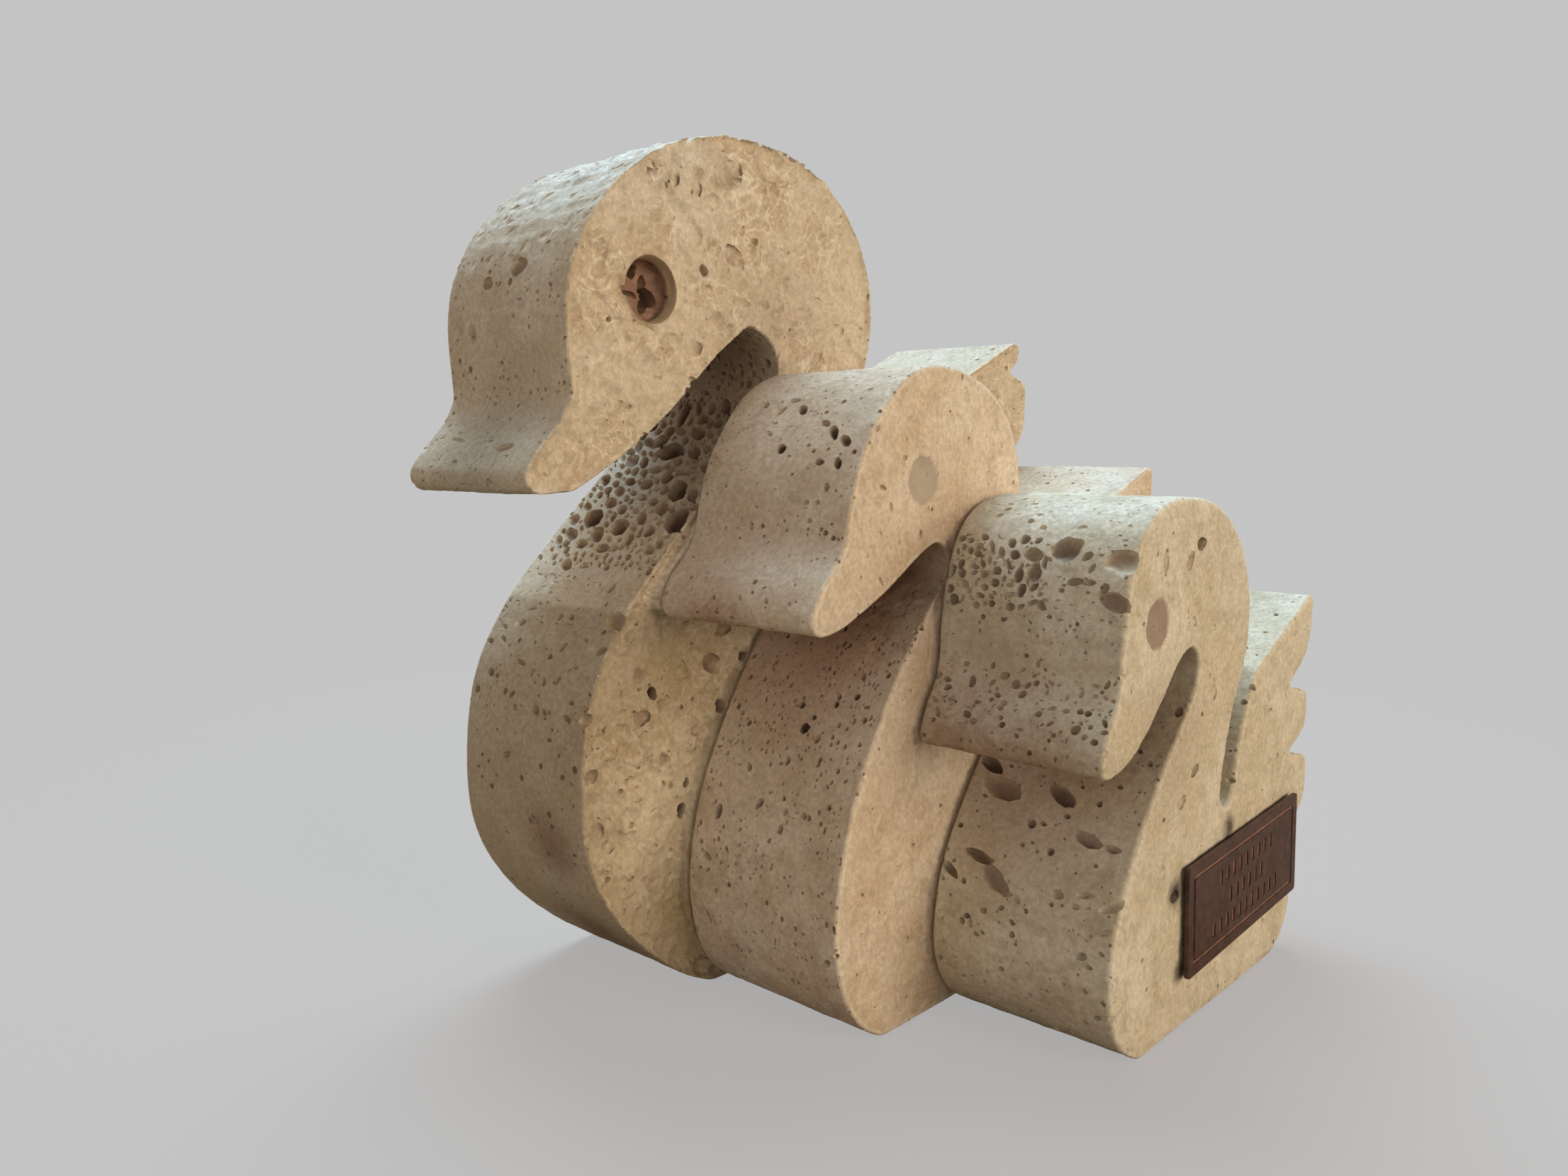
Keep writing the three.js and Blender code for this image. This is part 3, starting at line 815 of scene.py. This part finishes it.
def paint_veins(paint, mm, patchy, strength):
    """Lays thin curling lines over the paint, pale and dark, where it is patchy."""
    for width, share, tone in VEINS:
        inputs = {"Vector": mm, "Scale": 1 / width, "Detail": 1, "Roughness": 0.5, "Distortion": 1.2}
        curl = add_node(paint.tree, "TexNoise", inputs=inputs).outputs["Fac"]
        off = add_node(paint.tree, "Math", {"operation": "SUBTRACT"}, {0: curl, 1: 0.5})
        off = add_node(paint.tree, "Math", {"operation": "ABSOLUTE"}, {0: off.outputs[0]})
        line = paint.ramp(off.outputs[0], 0.04, 0.005, strength * share)
        paint.layer(paint.times(line, patchy), linear(tone))


def paint_stains_and_light(paint, bird, mm, clouds, mottle):
    """Lays the bed that changes colour over the paint, then the bird's patches: real
    stained spots, and painted shade, shadow and light in gaps, under bills and on the
    crown. Clouds and mottle make their edges uneven."""
    if bird.band:
        level, tone, share = bird.band
        height = add_node(paint.tree, "SeparateXYZ", inputs={0: mm}).outputs["Z"]
        inputs = {0: clouds, 1: 3, 2: height}
        wobble = add_node(paint.tree, "Math", {"operation": "MULTIPLY_ADD"}, inputs).outputs[0]
        paint.layer(paint.ramp(wobble, level + 1.9, level + 1.1, share), linear(tone))
    for colour_patch in bird.stains_and_painted_light:
        inputs = {0: mm, 1: colour_patch.place}
        away = add_node(paint.tree, "VectorMath", {"operation": "DISTANCE"}, inputs)
        inputs = {0: mottle, 1: colour_patch.radius, 2: away.outputs["Value"]}
        uneven = add_node(paint.tree, "Math", {"operation": "MULTIPLY_ADD"}, inputs).outputs[0]
        share = paint.ramp(uneven, colour_patch.radius * 1.5, colour_patch.radius * 0.6, colour_patch.share)
        paint.layer(share, linear(colour_patch.tone))


def travertine(bird, settings):
    """Travertine, sawn and tumbled: a dull, finely crystalline lime stone in beds. Its
    worn cups get painted shade and the edges between them a painted highlight, and its
    pores get painted shade over the grimy colour that they hold."""
    material, tree, output = new_material(f"travertine, sawn and tumbled, {bird.node[5:]} bird")
    # The fourth tone is the dark of the pores: painted shade with their grimy colour.
    pale, warm, deep, dirt_and_shade = (linear(tone) for tone in bird.tones)
    place = add_node(tree, "TexCoord").outputs["Object"]
    mm = add_node(tree, "Mapping", inputs={"Vector": place, "Scale": (1 / MM,) * 3}).outputs[0]
    inputs = {"Vector": place, "Scale": (60, 90, 420), "Rotation": (0.05, 0.06, 0)}
    bedded = add_node(tree, "Mapping", inputs=inputs).outputs[0]
    clouds, mottle, grain, beds = (
        add_node(tree, "TexNoise", inputs=inputs).outputs["Fac"]
        for inputs in (
            {"Vector": mm, "Scale": 1 / CLOUD_WIDTH, "Detail": 4, "Roughness": 0.6},
            {"Vector": mm, "Scale": 1 / MOTTLE_WIDTH, "Detail": 3, "Roughness": 0.65, "Distortion": 0.8},
            {"Vector": mm, "Scale": 1 / GRAIN_WIDTH, "Detail": 3, "Roughness": 0.7},
            {"Vector": bedded, "Scale": 1, "Detail": 3, "Roughness": 0.6, "Distortion": 0.3},
        )
    )
    inputs = {"Vector": mm, "Scale": 1 / SPOT_WIDTH, "Randomness": 1}
    spots = add_node(tree, "TexVoronoi", {"feature": "F1"}, inputs)
    pore, worn, eye, rim, side = (
        add_node(tree, "Attribute", {"attribute_name": name}).outputs["Fac"]
        for name in ("pore_depth", "worn", "eye_depth", "rim", "side")
    )

    paint = Paint(tree, pale)
    paint.layer(paint.ramp(clouds, 0.38, 0.62), warm)
    paint.layer(paint.ramp(mottle, 0.45, 0.7, settings.mottle), deep)
    paint.layer(paint.ramp(beds, 0.5, 0.72, settings.beds), deep)
    paint.layer(paint.ramp(mottle, 0.46, 0.3, settings.mottle), linear("#eadbc0"))
    # Painted highlight on the ridges of a worn face and painted shade in its cups, to bring out the relief.
    ridges = settings.ridges * bird.rough["right"]
    paint.layer(paint.times(paint.ramp(worn, 0.34, 0.2), ridges), linear("#f4e8d0"))
    paint.layer(paint.times(paint.ramp(worn, 0.42, 0.75), ridges), deep)
    # A pale band on the rounded rims: painted highlight where the edges catch the light.
    paint.layer(paint.ramp(rim, 0.25, 0.9, settings.rims), linear("#f0e4cf"))
    patchy = paint.times(paint.ramp(clouds, 0.4, 0.6), paint.ramp(side, 0.7, 0.95))
    paint_veins(paint, mm, patchy, settings.veins * bird.rough["right"])
    # Real stained spots, and patches of painted shade, painted shadow and painted light.
    paint_stains_and_light(paint, bird, mm, clouds, mottle)
    paint.layer(paint.ramp(grain, 0.35, 0.65, 0.22), linear("#6e5a44"), "MULTIPLY")
    # Dark specks stand for the finest pores, which are not cut: painted shade of their hollows, in the
    # pores' grimy colour.
    chosen = paint.ramp(spots.outputs["Color"], 0.62, 0.72)
    speck = paint.times(paint.ramp(spots.outputs["Distance"], 0.24, 0.12), chosen)
    speck = paint.times(speck, paint.ramp(side, 0.6, 0.9, 0.25, 1.0))
    paint.layer(paint.times(speck, settings.specks), dirt_and_shade)
    wall, floor = (linear(tone) for tone in bird.eye_tones)
    paint.layer(paint.ramp(eye, 0.35, 0.65), wall)
    paint.layer(paint.ramp(eye, 2.0, 3.2), floor)
    patch = paint.times(paint.ramp(eye, 2.4, 2.9), paint.ramp(mottle, 0.5, 0.6, 0.6))
    paint.layer(patch, linear("#a8826c"))
    # Pores darken with depth: painted shade in their hollows, over the grimy colour that they hold.
    paint.layer(paint.ramp(pore, 0.2, 0.8, 0.6), linear("#8e7460"))
    paint.layer(paint.ramp(pore, *bird.grime_and_shade, 0.85), dirt_and_shade)

    rise = add_node(tree, "Math", {"operation": "MULTIPLY_ADD"}, {0: mottle, 1: 1.5, 2: grain})
    inputs = {"Height": rise.outputs[0], "Strength": 0.5, "Distance": 0.22 * MM}
    bump = add_node(tree, "Bump", inputs=inputs)
    inputs = {
        "Base Color": paint.color,
        "Roughness": paint.ramp(grain, 0.3, 0.7, 0.85, 0.6),
        "Normal": bump.outputs[0],
        "IOR": 1.5,
        "Specular IOR Level": 0.4,
    }
    shader = add_node(tree, "BsdfPrincipled", inputs=inputs)
    tree.links.new(shader.outputs[0], output.inputs[0])
    return material


def foil(name, color, metallic, roughness):
    """Printed metal foil: thin, satin, with a slight unevenness from the press."""
    material, tree, output = new_material(name)
    place = add_node(tree, "TexCoord").outputs["Object"]
    inputs = {"Vector": place, "Scale": 1 / (1.5 * MM), "Detail": 4}
    mottle = add_node(tree, "TexNoise", inputs=inputs).outputs["Fac"]
    base = linear(color)
    worn = [min(1, value * 1.7 + 0.01) for value in base[:3]] + [1]
    paint = Paint(tree, base)
    paint.layer(paint.ramp(mottle, 0.3, 0.8), worn)
    inputs = {"Height": mottle, "Strength": 0.25, "Distance": 0.1 * MM}
    bump = add_node(tree, "Bump", inputs=inputs)
    inputs = {
        "Base Color": paint.color,
        "Metallic": metallic,
        "Roughness": roughness,
        "Normal": bump.outputs[0],
    }
    shader = add_node(tree, "BsdfPrincipled", inputs=inputs)
    tree.links.new(shader.outputs[0], output.inputs[0])
    return material


def studio_paper(color, shade):
    """Matt studio paper. It glows further out, so that it runs into the background, and
    what it sends up to the stone is dim and warm."""
    material, tree, output = new_material("studio paper, matt")
    tone = linear(color)
    matt = add_node(tree, "BsdfDiffuse", inputs={"Color": linear("#c4b3aa")}).outputs[0]
    even = add_node(tree, "Emission", inputs={"Color": tone, "Strength": 1}).outputs[0]
    dim = add_node(tree, "BsdfDiffuse", inputs={"Color": linear("#7c6c58")}).outputs[0]
    place = add_node(tree, "TexCoord").outputs["Object"]
    far = add_node(tree, "VectorMath", {"operation": "LENGTH"}, {0: place}).outputs["Value"]
    settings = {"interpolation_type": "SMOOTHSTEP"}
    inputs = {0: far, 1: 0.04, 2: 0.4, 3: 1 - shade, 4: 1}
    share = add_node(tree, "MapRange", settings, inputs).outputs[0]
    seen = add_node(tree, "MixShader", inputs={0: share, 1: matt, 2: even}).outputs[0]
    camera = add_node(tree, "LightPath").outputs["Is Camera Ray"]
    both = add_node(tree, "MixShader", inputs={0: camera, 1: dim, 2: seen}).outputs[0]
    tree.links.new(both, output.inputs[0])
    return material


def studio_world(settings):
    """The background as the camera sees it, and the soft light that the stone gets, which
    comes from the walls of the studio and not from above."""
    world = bpy.data.worlds.new("studio")
    world.use_nodes = True
    tree = world.node_tree
    tree.nodes.clear()
    inputs = {"Color": linear(settings.paper), "Strength": 1}
    seen = add_node(tree, "Background", inputs=inputs)
    direction = add_node(tree, "TexCoord").outputs["Generated"]
    up = add_node(tree, "SeparateXYZ", inputs={0: direction}).outputs["Z"]
    fill = Paint(tree, linear(settings.fill_tone))
    fill.layer(fill.ramp(up, 0, 0.7), (0, 0, 0, 1))
    inputs = {"Color": fill.color, "Strength": settings.fill}
    given = add_node(tree, "Background", inputs=inputs)
    camera = add_node(tree, "LightPath").outputs["Is Camera Ray"]
    inputs = {0: camera, 1: given.outputs[0], 2: seen.outputs[0]}
    mixed = add_node(tree, "MixShader", inputs=inputs)
    add_node(tree, "OutputWorld", inputs={0: mixed.outputs[0]})
    return world


class StoneSettings(bpy.types.PropertyGroup):
    """Sizes and strengths of the stone's surface."""

    rounding: IntProperty(name="Rounding", description="How often the sawn mesh is smoothed", default=20)
    cell: FloatProperty(
        name="Cell", description="Width of a mesh cell on the stone", default=0.48 * MM, unit="LENGTH"
    )
    wander: FloatProperty(
        name="Wander", description="How far the sawn faces wander", default=0.3 * MM, unit="LENGTH"
    )
    cups: FloatProperty(
        name="Cups", description="Depth of the cups on a worn face", default=0.7 * MM, unit="LENGTH"
    )
    # Strength of the painted highlight on the worn faces' ridges and the painted shade in their cups.
    ridges: FloatProperty(
        name="Ridges", description="Strength of the ridges' and cups' colour", default=0.4, subtype="FACTOR"
    )
    # The pale rims are painted highlight where the rounded edges catch the light.
    rims: FloatProperty(
        name="Rims", description="Strength of the pale colour of the rims", default=0.5, subtype="FACTOR"
    )
    mouths: FloatProperty(
        name="Mouths", description="Size of the single voids as a share of the given one", default=1.05
    )
    veins: FloatProperty(
        name="Veins", description="Strength of the pale curling lines", default=0.5, subtype="FACTOR"
    )
    triangles: IntProperty(name="Triangles", description="Most triangles in one bird", default=190000)
    mottle: FloatProperty(
        name="Mottle", description="Strength of the crystals' colour", default=0.45, subtype="FACTOR"
    )
    beds: FloatProperty(
        name="Beds", description="Strength of the beds' colour", default=0.25, subtype="FACTOR"
    )
    # Specks are painted shade of the finest, uncut pores, in their grimy colour.
    specks: FloatProperty(
        name="Specks", description="Strength of the finest pores' colour", default=0.6, subtype="FACTOR"
    )


class LabelSettings(bpy.types.PropertyGroup):
    """Colours of the label."""

    ground: StringProperty(name="Ground", description="sRGB hex colour of the label", default="#46302c")
    line: StringProperty(
        name="Line", description="sRGB hex colour of the border and the strokes", default="#9c7460"
    )


class StageSettings(bpy.types.PropertyGroup):
    """The floor, the background and the lights."""

    paper: StringProperty(
        name="Paper", description="sRGB hex colour of floor and background", default="#c4c4c4"
    )
    fill_tone: StringProperty(
        name="Fill tone", description="sRGB hex colour of the soft light from the walls", default="#fff4e9"
    )
    fill: FloatProperty(
        name="Fill", description="Strength of the soft light from the walls", default=1.42
    )
    shade: FloatProperty(
        name="Shade", description="Strength of the shadow on the floor", default=0.3, subtype="FACTOR"
    )
    warm_power: FloatProperty(
        name="Warm light", description="Power of the warm light from the right", default=11.0, unit="POWER"
    )
    cool_power: FloatProperty(
        name="Cool light", description="Power of the cool light from behind", default=13.9, unit="POWER"
    )


class SWANS_OT_stone(bpy.types.Operator):
    """Builds one swan of tumbled travertine on its CAD solid"""

    bl_idname = "swans.stone"
    bl_label = "Travertine swan"

    bird: EnumProperty(
        name="Bird",
        description="Which of the three birds",
        items=[(key, key.title(), f"The {key} bird") for key in BIRDS],
    )

    def execute(self, context):
        settings = context.scene.swan_stone
        bird = BIRDS[self.bird]
        rng = random.Random(self.bird)
        stone = copy_of_node(bird.node, f"{bird.node}_stone")
        surface = Surface(stone.data, NEIGHBOURS[self.bird])
        apply_modifier(stone, "REMESH", mode="VOXEL", voxel_size=settings.cell)
        plain = wear(stone, bird, surface, settings)
        uncut = surface.worn = tree_of(stone.data)
        fine, coarse = void_forms(subdivisions=3), void_forms(subdivisions=2)
        batches = Batches()
        for void in (Void(*row) for row in bird.voids):
            point, normal = surface.nearest((void.x, void.y, void.z))
            size = (void.length * settings.mouths, void.width * settings.mouths)
            hole = hole_at(point, normal, size, void.lean, size[1] * void.depth)
            batches.add(hole, crowd=0.6)
        for zone in bird.pores:
            spread(surface, zone, rng, batches)
        soften_rims(batches)
        for holes in batches.batches:
            if holes:
                cut(stone, cutter(holes, bird.spared, fine, coarse, rng))
        for form in fine + coarse:
            bpy.data.objects.remove(form)
        triangles = sum(len(face.vertices) - 2 for face in stone.data.polygons)
        apply_modifier(stone, "DECIMATE", ratio=min(1, settings.triangles / triangles))
        measure(stone, plain, uncut, bird, deepest=settings.cups * 1.3)
        select_only(stone)
        bpy.ops.object.shade_smooth_by_angle(angle=math.radians(60))
        stone.data.materials.clear()
        stone.data.materials.append(travertine(bird, settings))
        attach(stone, "root")
        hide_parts(bird.node)
        return {"FINISHED"}


class SWANS_OT_label(bpy.types.Operator):
    """Builds the brown foil label with its copper border and strokes"""

    bl_idname = "swans.label"
    bl_label = "Label"

    def execute(self, context):
        settings = context.scene.swan_label
        label = copy_of_node("label_plate", "label_foil")
        label.data.materials.append(foil("foil, brown lacquer", settings.ground, 0.2, 0.42))
        label.data.materials.append(foil("foil, bare copper", settings.line, 0.5, 0.4))
        outer = max(vertex.co.x for vertex in label.data.vertices)
        for face in label.data.polygons:
            sunk = outer - face.center.x > LINE_DEPTH
            if face.normal.x > FACING_NORMAL and sunk:
                face.material_index = 1
        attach(label, "root")
        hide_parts("label_plate")
        return {"FINISHED"}


def area_light(name, place, size, color, power):
    """A soft square lamp that shines at the middle of the group."""
    bpy.ops.object.light_add(type="AREA", location=place)
    lamp = bpy.context.object
    lamp.name = name
    lamp.data.size = size
    lamp.data.color = color
    lamp.data.energy = power
    beam = Vector(GROUP_MIDDLE) - lamp.location
    lamp.rotation_euler = beam.to_track_quat("-Z", "Y").to_euler()


class SWANS_OT_stage(bpy.types.Operator):
    """Builds the pale floor, the lights and the camera"""

    bl_idname = "swans.stage"
    bl_label = "Stage"

    def execute(self, context):
        settings = context.scene.swan_stage
        bpy.ops.object.select_all(action="DESELECT")
        bpy.ops.mesh.primitive_circle_add(vertices=96, radius=6, fill_type="NGON")
        floor = context.object
        floor.name = "studio_floor"
        floor.data.materials.append(studio_paper(settings.paper, settings.shade))
        context.scene.world = studio_world(settings)
        area_light("warm_light", (1.38, 0.14, 0.42), 0.8, (1.0, 0.83, 0.6), settings.warm_power)
        area_light("cool_light", (-0.3, 0.22, 0.85), 0.6, (0.57, 0.79, 0.96), settings.cool_power)
        bpy.ops.object.camera_add(location=CAMERA_AT)
        camera = context.object
        camera.rotation_euler = (math.radians(90 + CAMERA_PITCH), 0, math.radians(CAMERA_YAW))
        camera.data.sensor_width = SENSOR
        camera.data.lens = SENSOR * FOCAL_PIXELS / PHOTO_WIDTH
        camera.data.clip_start = 0.01
        context.scene.camera = camera
        context.scene.view_settings.view_transform = "Standard"
        return {"FINISHED"}


class SWANS_PT_panel(bpy.types.Panel):
    """Lists the pieces of the group"""

    bl_label = "Travertine swans"
    bl_idname = "SWANS_PT_panel"
    bl_space_type = "VIEW_3D"
    bl_region_type = "UI"
    bl_category = "Swans"

    def draw(self, context):
        for bird in BIRDS:
            self.layout.operator("swans.stone", text=f"{bird.title()} swan").bird = bird
        self.layout.operator("swans.label")
        self.layout.operator("swans.stage")


CLASSES = (
    StoneSettings,
    LabelSettings,
    StageSettings,
    SWANS_OT_stone,
    SWANS_OT_label,
    SWANS_OT_stage,
    SWANS_PT_panel,
)


def register():
    for one in CLASSES:
        bpy.utils.register_class(one)
    bpy.types.Scene.swan_stone = PointerProperty(type=StoneSettings)
    bpy.types.Scene.swan_label = PointerProperty(type=LabelSettings)
    bpy.types.Scene.swan_stage = PointerProperty(type=StageSettings)


def unregister():
    del bpy.types.Scene.swan_stage
    del bpy.types.Scene.swan_label
    del bpy.types.Scene.swan_stone
    for one in reversed(CLASSES):
        bpy.utils.unregister_class(one)


def main():
    register()
    for bird in BIRDS:
        bpy.ops.swans.stone(bird=bird)
    bpy.ops.swans.label()
    bpy.ops.swans.stage()


if __name__ == "__main__":
    main()
